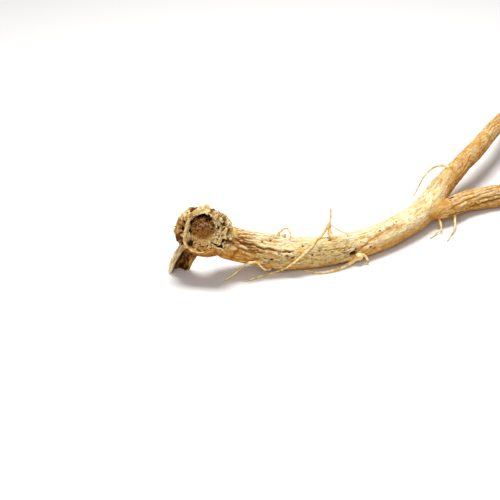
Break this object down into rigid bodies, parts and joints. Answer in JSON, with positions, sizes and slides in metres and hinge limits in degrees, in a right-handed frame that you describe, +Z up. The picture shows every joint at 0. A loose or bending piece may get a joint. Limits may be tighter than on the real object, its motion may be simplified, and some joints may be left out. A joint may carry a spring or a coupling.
{
  "type": "astragalus root",
  "caption": "Dried taproot lying on its belly: a knobbly crown with a round stem scar, a plump furrowed body and a fork into tapering branches.",
  "frame": {"origin": "middle of the root's footprint, on the surface that it lies on", "axes": "+X along the root from the crown to the tips of the branches, +Z up from the surface"},
  "size_m": [0.3711, 0.1038, 0.0427],
  "materials": {
    "root_bark": "matt dried bark, cream on the ridges and orange-brown in the furrows"
  },
  "bodies": {
    "root": {"astragalus_root": "root_bark"}
  },
  "joints": []
}
